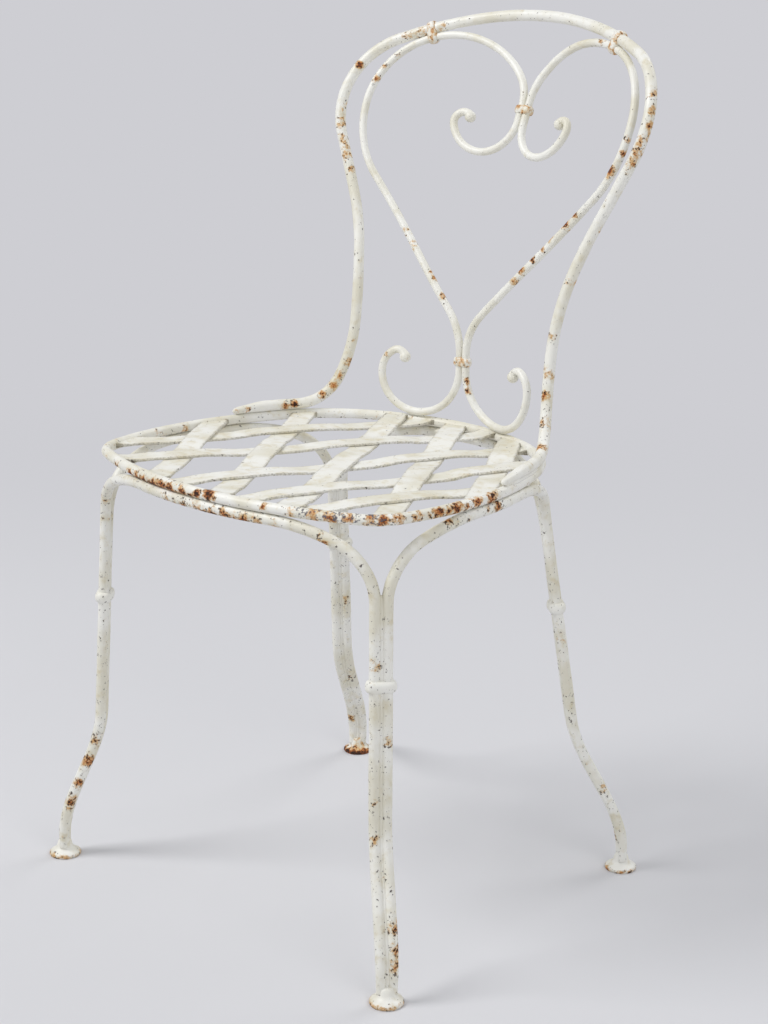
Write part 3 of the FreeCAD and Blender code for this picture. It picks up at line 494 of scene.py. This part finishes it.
rodSettings = {
    "step": 2.0,
    "around": 24,
    "swell": 0.16,
    "swellWidth": 26.0,
    "lumps": 0.10,
    # painted shade on faces that look down: how fast it grows as a face turns down, and its strength on rods
    # that give none of their own
    "lumpWidth": 6.0,
    "underShadePower": 1.5,
    "otherUnderShade": 0.15,
}
# near and way are where on the solid the walk along its middle starts, and in which direction
# the last number given for some rods is the strength of painted shade on their faces that look down
rods = {
    "seat_ring": {"radius": 5.3, "slot": "ring_paint", "near": (0, -243, 446), "way": (1, 0, 0),
                  "closed": True, "paintedUnderShade": 0.5},
    "front_arch": {"radius": 5.5, "slot": "leg_paint", "near": (0, -243, 435), "way": (1, 0, 0),
                   "straights": True, "paintedUnderShade": 0.4},
    "right_arch": {"radius": 5.5, "slot": "leg_paint", "near": (200, 0, 435), "way": (0, 1, 0),
                   "straights": True, "paintedUnderShade": 0.4},
    "rear_arch": {"radius": 5.5, "slot": "leg_paint", "near": (0, 140, 435), "way": (-1, 0, 0),
                  "straights": True, "paintedUnderShade": 0.3},
    "left_arch": {"radius": 5.5, "slot": "leg_paint", "near": (-200, 0, 435), "way": (0, -1, 0),
                  "straights": True, "paintedUnderShade": 0.3},
    "back_hoop": {"radius": 5.8, "slot": "back_paint", "near": (0, 235, 870), "way": (1, 0, 0)},
    "right_scroll": {"radius": 4.1, "slot": "scroll_paint", "near": (4.2, 137, 518), "way": (0, 0, 1)},
    "left_scroll": {"radius": 4.1, "slot": "scroll_paint", "near": (-4.2, 137, 518), "way": (0, 0, 1)},
}
scrollBall = {"radius": 6.0, "count": 9}
roundEnd = {"count": 6, "start": 0.35}
# the arches' ends are drawn thinner above the feet, and the hoop's tails are beaten thinner
legTaper = {"foot": 9.0, "length": 46.0, "share": 0.2, "power": 1.5}
tailTaper = {"length": 38.0, "share": 0.42, "power": 1.3}

swellCloud, lumpCloud = Cloud(3), Cloud(5)
lines = {}
for node, settings in rods.items():
    closed, straights = settings.get("closed", False), settings.get("straights", False)
    near = np.array(settings["near"], float)
    found = centreLine(node, settings["radius"], near, settings["way"], closed, straights)
    lines[node] = evenly(found, rodSettings["step"], closed)
    length = np.linalg.norm(np.diff(lines[node], axis=0), axis=1).sum()
    print(node, "points", len(found), "length %.0f" % length)


def uneven(skin, outward):
    # a forged and thickly painted surface: a slow swell and small lumps along the outward direction
    push = rodSettings["swell"] * swellCloud.at(skin, rodSettings["swellWidth"])
    push = push + rodSettings["lumps"] * lumpCloud.at(skin, rodSettings["lumpWidth"])
    return skin + outward * push[..., None]


def rodRings(line, radii, closed):
    # ring k stands on point k, square to the line, with the radius of that point
    ways = headings(line, closed)
    sides = sideways(line, ways)
    others = np.cross(ways, sides)
    angles = fullTurn(rodSettings["around"])[None, :, None]
    outward = sides[:, None] * np.cos(angles) + others[:, None] * np.sin(angles)
    return line[:, None] + outward * np.reshape(radii, (-1, 1, 1)), outward


def withRoundEnds(line, radius):
    # the line and its radii, going on as half a ball at both ends
    angles = (np.arange(roundEnd["count"]) + roundEnd["start"]) * math.pi / 2 / roundEnd["count"]
    reach, small = radius * np.cos(angles), radius * np.sin(angles)
    ways = headings(line)
    before = line[0] - ways[0] * reach[:, None]
    after = line[-1] + ways[-1] * reach[::-1, None]
    radii = np.concatenate([small, np.full(len(line), radius), small[::-1]])
    return np.vstack([before, line, after]), radii


def withBalls(line, radius):
    # the rod runs into a ball at both ends: the larger of the rod's radius and the ball's at each point
    ball, count = scrollBall["radius"], scrollBall["count"]
    angles = (np.arange(2 * count) + 0.5) * math.pi / 2 / count
    ways = headings(line)
    spots, radii = [], []
    for end, way in ((0, -ways[0]), (-1, ways[-1])):
        ballSpots = line[end] - way * ball * np.cos(angles)[:, None]
        ballRadii = ball * np.sin(angles)
        keep = (np.cos(angles) < 0) | (ballRadii > radius)
        spots.append(ballSpots[keep])
        radii.append(ballRadii[keep])
    free = np.linalg.norm(line - line[0], axis=1) > ball
    free &= np.linalg.norm(line - line[-1], axis=1) > ball
    middle = line[free]
    allRadii = np.concatenate([radii[0][::-1], np.full(len(middle), radius), radii[1]])
    return np.vstack([spots[0][::-1], middle, spots[1]]), allRadii


def withTails(line, radius):
    # the hoop thins towards its ends and goes on lying on the ring
    line, radii = withRoundEnds(line, radius)
    toFirst, toLast = (np.linalg.norm(line - line[end], axis=1) for end in (0, -1))
    left = np.clip(1 - np.minimum(toFirst, toLast) / tailTaper["length"], 0, 1)
    thin = tailTaper["share"] * left ** tailTaper["power"]
    return line - upward * (thin * radius)[:, None], radii * (1 - thin)


def withThinFeet(line, radius):
    # an arch thins with its height above the foot
    down = np.clip(1 - (line[:, 2] - legTaper["foot"]) / legTaper["length"], 0, 1)
    return line, radius * (1 - legTaper["share"] * down ** legTaper["power"])


for node, settings in rods.items():
    line, radius, closed = lines[node], settings["radius"], settings.get("closed", False)
    if "scroll" in node:
        line, radii = withBalls(line[1:-1], radius)
    elif "hoop" in node:
        line, radii = withTails(line, radius)
    elif "arch" in node:
        line, radii = withThinFeet(line, radius)
    else:
        radii = np.full(len(line), radius)
    skin, outward = rodRings(line, radii, closed)
    spots, faces = tubeMesh(uneven(skin, outward), closed)
    marks = marksOf(node, spots)
    # painted shade: faces that look down are darkened, the more the further they turn down
    down = np.clip(-outward[..., 2].ravel(), 0, 1) ** rodSettings["underShadePower"]
    marks["dirtAndShade"][:down.size] = settings.get("paintedUnderShade", rodSettings["otherUnderShade"]) * down
    makePiece(node + "_rod", spots, faces, settings["slot"], marks, [node])
print("rods made")


# Seat straps: flat bars, hammered a little uneven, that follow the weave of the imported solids

strapSettings = {
    "halfWidth": 13.0,
    "halfThickness": 1.3,
    "step": 2.5,
    "across": 11,
    "edgePoints": 4,
    "edgeRound": 0.7,
    # faces of the solid that look this much up or down give its height, every so many millimetres
    "facing": 0.7,
    "stationStep": 2.0,
    # how far past the ring's middle line an end reaches
    "sunk": 2.5,
    "edgeWave": 0.55,
    "edgeWaveWidth": 17.0,
    "edgeNick": 0.3,
    "edgeNickWidth": 5.0,
    "nickShift": 77.0,
    "face": 0.22,
    "faceWidth": 14.0,
    # the weld that thickens a bar's end, and how far in it reaches
    "weld": 1.5,
    "weldReach": 9.0,
    # dirt over the bar's faces, then painted shade: dark along its edges and at its ends where it meets the
    # ring, and how far in the shade at the ends reaches
    "faceDirt": 0.12,
    "edgeShade": 0.55,
    "endShade": 0.3,
    "endShadeReach": 12.0,
}
edgeCloud, faceCloud = Cloud(11), Cloud(13)
ringLine = lines["seat_ring"]


def strapCourse(node, settings):
    # a bar's middle, its directions along and across, and its middle height at stations along it
    spots, normals = nodeSurface(node)
    middle = spots.mean(axis=0)
    along = np.linalg.svd((spots - middle)[:, :2], full_matrices=False)[2][0]
    along = np.array([along[0], along[1], 0.0])
    side = np.array([along[1], -along[0], 0.0])
    s, t = (spots - middle) @ along, (spots - middle) @ side
    middle = middle + side * (t.max() + t.min()) / 2
    flat = np.abs(normals[:, 2]) > settings["facing"]
    heights = spots[:, 2] - np.sign(normals[:, 2]) * settings["halfThickness"]
    marks = np.round(s[flat] / settings["stationStep"]).astype(int)
    stations, owner = np.unique(marks, return_inverse=True)
    owner = owner.reshape(-1)
    heights = np.bincount(owner, heights[flat]) / np.bincount(owner)
    return middle, along, side, stations * settings["stationStep"], heights


def ringMeets(middle, along, side, places):
    # where lines along the bar, at these distances across it, meet the ring: the lower and upper end
    here, across = (ringLine - middle) @ along, (ringLine - middle) @ side
    nextHere, nextAcross = np.roll(here, -1), np.roll(across, -1)
    ends = []
    for place in places:
        crossed = (across - place) * (nextAcross - place) <= 0
        share = (place - across[crossed]) / (nextAcross - across)[crossed]
        found = here[crossed] + share * (nextHere - here)[crossed]
        ends.append((found.min(), found.max()))
    return np.array(ends)


def strapProfile(settings):
    # distances across and heights of the bar's section: over the top, round one edge, back under and
    # round the other, with the edges half an ellipse
    half = np.linspace(-1, 1, settings["across"])
    edge = np.linspace(0, math.pi, settings["edgePoints"] + 2)[1:-1]
    bulge = settings["halfThickness"] * settings["edgeRound"]
    width = settings["halfWidth"] - bulge
    rounded = width + np.sin(edge) * bulge
    flat = np.ones(len(half))
    across = np.concatenate([half * width, rounded, -half * width, -rounded])
    height = np.concatenate([flat, np.cos(edge), -flat, -np.cos(edge)])
    return across, height, np.abs(across) > width - settings["halfThickness"]


def strapSkin(node, settings):
    # s runs along the bar and t across it. Its height is the solid's middle height at s, and its ends
    # reach into the ring where each lengthwise line meets the ring's middle line. Waves and nicks move
    # the edges, dents move the faces, and a bell of weld thickens the ends.
    middle, along, side, stations, heights = strapCourse(node, settings)
    across, height, edged = strapProfile(settings)
    ends = ringMeets(middle, along, side, across) + np.array([settings["sunk"], -settings["sunk"]])
    low, high = ends[None, :, 0], ends[None, :, 1]
    share = np.linspace(0, 1, int((high - low).max() / settings["step"]))[:, None]
    s = low * (1 - share) + high * share
    edgeSpots = middle + s[..., None] * along + np.sign(across)[None, :, None] * side * settings["halfWidth"]
    wave = settings["edgeWave"] * edgeCloud.at(edgeSpots, settings["edgeWaveWidth"])
    nick = settings["edgeNick"] * edgeCloud.at(edgeSpots + settings["nickShift"], settings["edgeNickWidth"])
    t = across * (1 + (wave + nick) / settings["halfWidth"])
    skin = middle * flatten + s[..., None] * along + t[..., None] * side
    dent = settings["face"] * faceCloud.at(skin, settings["faceWidth"])
    fromEnd = np.minimum(s - low, high - s)
    weld = settings["weld"] * np.exp(-(fromEnd / settings["weldReach"]) ** 2)
    skin[..., 2] = np.interp(s, stations, heights) + dent + height * (settings["halfThickness"] + weld)
    # dirt on the faces, with painted shade along the edges and at the ends where the bar meets the ring
    dirtAndShade = np.where(edged, settings["edgeShade"], settings["faceDirt"])[None, :]
    dirtAndShade = dirtAndShade + settings["endShade"] * np.exp(-(fromEnd / settings["endShadeReach"]) ** 2)
    return skin, dirtAndShade


for node in [side + "_strap_%d" % k for side in ("right", "left") for k in range(1, 6)]:
    skin, dirtAndShade = strapSkin(node, strapSettings)
    spots, faces = tubeMesh(skin)
    marks = marksOf(node, spots)
    marks["dirtAndShade"][:dirtAndShade.size] = dirtAndShade.ravel()
    makePiece(node + "_bar", spots, faces, "strap_paint", marks, [node])
print("straps made")


# Collars: beads round two rods, a swelling carried round both

collarSettings = {
    "around": 44,
    "rows": 13,
    "sunk": 0.8,
    "roundness": 2.4,
    # the bridge between the two circles, and the width of the pinch in it
    "bridge": 0.9,
    "pinchWidth": 0.28,
    "lumps": 0.5,
    "lumpWidth": 7.0,
}
legCollar = {"length": 12.0, "wall": 3.8, "pinch": 0.12, "slot": "leg_collar_paint", "wear": 0.05}
heartCollar = {"length": 10.0, "wall": 2.6, "pinch": 0.4, "slot": "back_collar_paint", "wear": 0.35}
topCollar = {"length": 11.0, "wall": 2.8, "pinch": 0.45, "slot": "back_collar_paint", "wear": 0.35}
collars = {
    "right_front_collar": {"rods": ("front_arch", "right_arch"), **legCollar},
    "right_rear_collar": {"rods": ("right_arch", "rear_arch"), **legCollar},
    "left_rear_collar": {"rods": ("rear_arch", "left_arch"), **legCollar},
    "left_front_collar": {"rods": ("left_arch", "front_arch"), **legCollar},
    "neck_collar": {"rods": ("left_scroll", "right_scroll"), **heartCollar, "wall": 2.4},
    "heart_collar": {"rods": ("left_scroll", "right_scroll"), **heartCollar},
    "right_top_collar": {"rods": ("right_scroll", "back_hoop"), **topCollar},
    "left_top_collar": {"rods": ("left_scroll", "back_hoop"), **topCollar},
}
collarCloud = Cloud(17)


def collarSkin(node, settings):
    # outline of the two rods: around each a circle, joined by a bridge that sinks by pinch; the profile
    # along the rods is nearly half an ellipse, so that the collar is a bead
    low, high = (np.array(corner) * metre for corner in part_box(node))
    centre = (low + high) / 2

    def nearest(rod):
        place = np.argmin(np.linalg.norm(lines[rod] - centre, axis=1))
        return lines[rod][place], headings(lines[rod])[place]

    first, second = settings["rods"]
    firstSpot, firstWay = nearest(first)
    secondSpot, secondWay = nearest(second)
    secondWay = secondWay * np.sign(firstWay @ secondWay)
    along = unit(firstWay + secondWay)
    across = secondSpot - firstSpot
    across = across - along * (across @ along)
    gap = np.linalg.norm(across)
    across = across / gap
    other = np.cross(along, across)

    v = np.linspace(-1, 1, collarSettings["rows"])
    bulge = (1 - np.abs(v) ** collarSettings["roundness"]) ** 0.5
    reach = -collarSettings["sunk"] + (settings["wall"] + collarSettings["sunk"]) * bulge
    angles = fullTurn(collarSettings["around"])
    towards = np.cos(angles)
    firstRadius, secondRadius = rods[first]["radius"], rods[second]["radius"]
    radius = firstRadius + (secondRadius - firstRadius) * eased(0.5 + 0.5 * towards)
    centreShare = np.clip(0.5 + collarSettings["bridge"] * towards, 0, 1)
    pinch = settings["pinch"] * settings["wall"]
    sink = pinch * np.exp(-(towards / collarSettings["pinchWidth"]) ** 2)
    outline = towards[:, None] * across + np.sin(angles)[:, None] * other
    base = firstSpot + (centreShare * gap)[:, None] * across
    out = radius[None, :] + reach[:, None] - sink[None, :] * bulge[:, None]
    skin = base[None] + outline[None] * out[..., None]
    skin = skin + (v * settings["length"] / 2)[:, None, None] * along
    lumps = collarSettings["lumps"] * collarCloud.at(skin, collarSettings["lumpWidth"])
    return skin + outline[None] * (lumps * bulge[:, None])[..., None]


for node, settings in collars.items():
    spots, faces = tubeMesh(collarSkin(node, settings))
    marks = marksOf(node, spots)
    marks["wear"] += settings["wear"]
    makePiece(node + "_bead", spots, faces, settings["slot"], marks, [node])
print("collars made")


# Feet: turned discs whose dome runs up into the ends of the rods

footSettings = {
    "around": 48,
    "widest": 16.5,
    # radius and height
    "profile": [(0.01, 0.0), (8.0, 0.0), (14.0, 0.0), (15.8, 0.15), (16.4, 0.9), (16.5, 2.0), (16.3, 3.1),
                (15.6, 4.1), (14.2, 5.1), (12.4, 6.1), (10.6, 7.2), (9.2, 8.6), (8.3, 10.4), (7.7, 12.6),
                (7.1, 15.0), (5.6, 17.2), (0.01, 18.0)],
    "lumps": 0.45,
    "lumpWidth": 9.0,
    "rimWear": 0.6,
    "rimWearPower": 6,
    "rimDarkening": 0.5,
    "rimDarkeningPower": 8,
    "rustyFeet": {"left_rear": 0.5},
}
footCloud = Cloud(19)


def footSkin(centre, settings):
    # the profile turned about the foot's middle, with lumps that grow with the radius
    angles = fullTurn(settings["around"])
    outline = np.stack([np.cos(angles), np.sin(angles), np.zeros_like(angles)], axis=1)
    radii, heights = np.array(settings["profile"]).T
    skin = outline[None] * radii[:, None, None] + heights[:, None, None] * upward
    skin = skin + centre * flatten
    lumps = settings["lumps"] * footCloud.at(skin, settings["lumpWidth"])
    return skin + outline[None] * (lumps * (radii / settings["widest"])[:, None])[..., None]


for leg in legs:
    low, high = (np.array(corner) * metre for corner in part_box(leg + "_foot"))
    centre = (low + high) / 2
    spots, faces = tubeMesh(footSkin(centre, footSettings))
    marks = marksOf(leg + "_foot", spots)
    rim = np.clip(np.linalg.norm((spots - centre)[:, :2], axis=1) / footSettings["widest"], 0, 1)
    marks["wear"] += footSettings["rimWear"] * rim ** footSettings["rimWearPower"]
    marks["wear"] += footSettings["rustyFeet"].get(leg, 0.0)
    # the paint is darker towards the rim
    marks["dirtAndShade"] += footSettings["rimDarkening"] * rim ** footSettings["rimDarkeningPower"]
    makePiece(leg + "_foot_disc", spots, faces, "foot_paint", marks, [leg + "_foot"])
print("feet made")


# Filled grooves: paint between the two rods of each leg, and between the ring and the hoop's right tail

seamSettings = {
    "step": 3.0,
    "low": 14.0,
    "high": 424.0,
    # how far out from the foot a rod may be, and the widest gap that paint has filled
    "reach": 150.0,
    "widestGap": 1.6,
    "around": 16,
    "halfWidth": 2.8,
    "halfDepth": 4.0,
    "fade": 6,
    "leastFade": 0.1,
    "lumps": 0.35,
    "lumpWidth": 9.0,
}
tailWeldSettings = {
    "high": 464.0,
    "around": 16,
    "halfWidth": 3.2,
    "halfDepth": 4.6,
    "fade": 7,
    "lumps": 0.4,
    "lumpWidth": 8.0,
}


def grooveSkin(middle, across, fade, settings):
    # an ellipse at each point of the middle: its half width lies along across, and its half depth, less
    # where it fades, square to that
    other = np.cross(headings(middle), across)
    angles = fullTurn(settings["around"])[None, :, None]
    half = across[:, None] * settings["halfWidth"] * np.cos(angles)
    depth = other[:, None] * settings["halfDepth"] * np.sin(angles) * fade[:, None, None]
    skin = middle[:, None] + half + depth
    lumps = settings["lumps"] * lumpCloud.at(skin, settings["lumpWidth"])
    return skin + unit(depth + 1e-6) * lumps[..., None]


def legGroove(leg, settings):
    # from the foot up, at each height where the two rods nearly touch, half way between them
    low, high = (np.array(corner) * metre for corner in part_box(leg + "_foot"))
    centre = (low + high) / 2
    heights = np.arange(settings["low"], settings["high"], settings["step"])
    paths, top = [], settings["high"]
    first, second = collars[leg + "_collar"]["rods"]
    for rod in (first, second):
        line = lines[rod]
        near = np.linalg.norm((line - centre)[:, :2], axis=1) < settings["reach"]
        part = line[near & (line[:, 2] < settings["high"])]
        part = part[np.argsort(part[:, 2])]
        top = min(top, part[-1, 2])
        x, y = (np.interp(heights, part[:, 2], part[:, k]) for k in range(2))
        paths.append(np.stack([x, y, heights], axis=1))
    across = paths[1] - paths[0]
    touching = rods[first]["radius"] + rods[second]["radius"] + settings["widestGap"]
    apart = (np.linalg.norm(across, axis=1) > touching) | (heights > top)
    count = int(np.argmax(apart)) if apart.any() else len(heights)
    fade = np.clip((count - np.arange(count)) / settings["fade"], settings["leastFade"], 1) ** 0.5
    return grooveSkin(((paths[0] + paths[1]) / 2)[:count], unit(across[:count]), fade, settings)


def tailGroove(settings):
    # half way between the tail's middle line and the nearest points of the ring's, fading at both ends
    hoop = lines["back_hoop"]
    tail = hoop[(hoop[:, 2] < settings["high"]) & (hoop[:, 0] > 0)]
    away = np.linalg.norm(tail[:, None] - ringLine[None], axis=2)
    beside = ringLine[np.argmin(away, axis=1)]
    middle = evenly((tail + beside) / 2, rodSettings["step"])
    across = unit((tail - beside).mean(axis=0))
    ways = headings(middle)
    across = unit(across - ways * (ways @ across)[:, None])
    place = np.arange(len(middle))
    fromEnd = np.minimum(place, len(middle) - 1 - place) + 0.5
    return grooveSkin(middle, across, np.clip(fromEnd / settings["fade"], 0, 1) ** 0.5, settings)


for leg in legs:
    spots, faces = tubeMesh(legGroove(leg, seamSettings))
    makePiece(leg + "_leg_seam", spots, faces, "leg_paint", marksOf(leg, spots))
spots, faces = tubeMesh(tailGroove(tailWeldSettings))
makePiece("right_tail_weld", spots, faces, "ring_paint", marksOf("seat_ring", spots))
print("filled grooves made")


# Stage: places are in metres from here on

viewSettings = {
    "place": (1.4044, -1.5140, 0.9497),
    "azimuth": 42.54,
    "elevation": 15.42,
    "roll": 0.8,
    "focalPixels": 2096.84,
    "longSide": 1024,
    "sensor": 36.0,
}
floorSettings = {
    "half": 40.0,
    "tone": colour(214, 214, 217),
    "backdrop": colour(206, 206, 211),
    # where the floor starts to run into the backdrop's tone, and where it has
    "near": 0.7,
    "far": 2.4,
}
lampSettings = {
    "key": {"place": (-1.6, -2.2, 3.4), "size": 1.6, "power": 82.0},
    "fill": {"place": (3.2, -1.2, 2.2), "size": 2.4, "power": 26.0},
    "rim": {"place": (0.4, 2.8, 2.8), "size": 2.0, "power": 26.0},
}
lampAim = (0.0, 0.0, 0.4)
worldSettings = {"light": colour(236, 237, 240), "strength": 0.6}


def standing(name, data, right, up, back, place):
    # an object whose own three axes are these directions
    made = bpy.data.objects.new(name, data)
    matrix = np.eye(4)
    matrix[:3] = np.stack([right, up, back, place], axis=1)
    made.matrix_world = Matrix(matrix.tolist())
    bpy.context.scene.collection.objects.link(made)
    return made


def makeCamera(settings):
    # right, up and back axes of the view, then turned about the line of sight
    azimuth, elevation, roll = (math.radians(settings[k]) for k in ("azimuth", "elevation", "roll"))
    ahead = np.array([-math.sin(azimuth) * math.cos(elevation), math.cos(azimuth) * math.cos(elevation),
                      -math.sin(elevation)])
    right = unit(np.cross(ahead, upward))
    up = np.cross(right, ahead)
    turnedRight = math.cos(roll) * right + math.sin(roll) * up
    turnedUp = -math.sin(roll) * right + math.cos(roll) * up
    data = bpy.data.cameras.new("camera")
    data.sensor_width = settings["sensor"]
    data.lens = settings["focalPixels"] * settings["sensor"] / settings["longSide"]
    camera = standing("camera", data, turnedRight, turnedUp, -ahead, settings["place"])
    bpy.context.scene.camera = camera


def seenRays(finish):
    # 1 for what the camera sees and 0 for light that falls on things
    return finish.node("ShaderNodeLightPath", {}, {}, "Is Camera Ray")


def makeFloor(settings):
    # a floor that takes the shadow near the chair and runs into an even pale backdrop away from it
    half = settings["half"]
    mesh = bpy.data.meshes.new("floor")
    mesh.from_pydata([(-half, -half, 0), (half, -half, 0), (half, half, 0), (-half, half, 0)], [],
                     [(0, 1, 2, 3)])
    floor = bpy.data.objects.new("floor", mesh)
    bpy.context.scene.collection.objects.link(floor)
    finish = Finish(bpy.data.materials.new("floor"))
    away = finish.node("ShaderNodeVectorMath", {"operation": "LENGTH"}, {0: finish.position()}, "Value")
    matt = finish.node("ShaderNodeBsdfDiffuse", {}, {"Color": settings["tone"]})
    plain = finish.node("ShaderNodeEmission", {}, {"Color": settings["backdrop"], "Strength": 1.0})
    share = finish.step(away, settings["near"], settings["far"]) * seenRays(finish)
    finish.end(finish.node("ShaderNodeMixShader", {}, {0: share, 1: matt, 2: plain}))
    mesh.materials.append(finish.owner)


def makeLamp(name, settings):
    data = bpy.data.lights.new(name, "AREA")
    data.energy = settings["power"]
    data.shape = "DISK"
    data.size = settings["size"]
    back = unit(np.array(settings["place"]) - np.array(lampAim))
    right = unit(np.cross(upward, back))
    standing(name, data, right, np.cross(back, right), back, settings["place"])


def makeWorld(settings):
    # soft light all round, where the camera sees the backdrop's tone instead
    world = bpy.data.worlds.new("world")
    bpy.context.scene.world = world
    finish = Finish(world)
    sockets = {"Color": settings["light"], "Strength": settings["strength"]}
    light = finish.node("ShaderNodeBackground", {}, sockets)
    plain = finish.node("ShaderNodeBackground", {}, {"Color": floorSettings["backdrop"], "Strength": 1.0})
    mixed = finish.node("ShaderNodeMixShader", {}, {0: seenRays(finish), 1: light, 2: plain})
    finish.end(mixed, "ShaderNodeOutputWorld")


makeCamera(viewSettings)
makeFloor(floorSettings)
for name, settings in lampSettings.items():
    makeLamp(name, settings)
makeWorld(worldSettings)
bpy.context.scene.view_settings.view_transform = "Standard"
print("stage made")
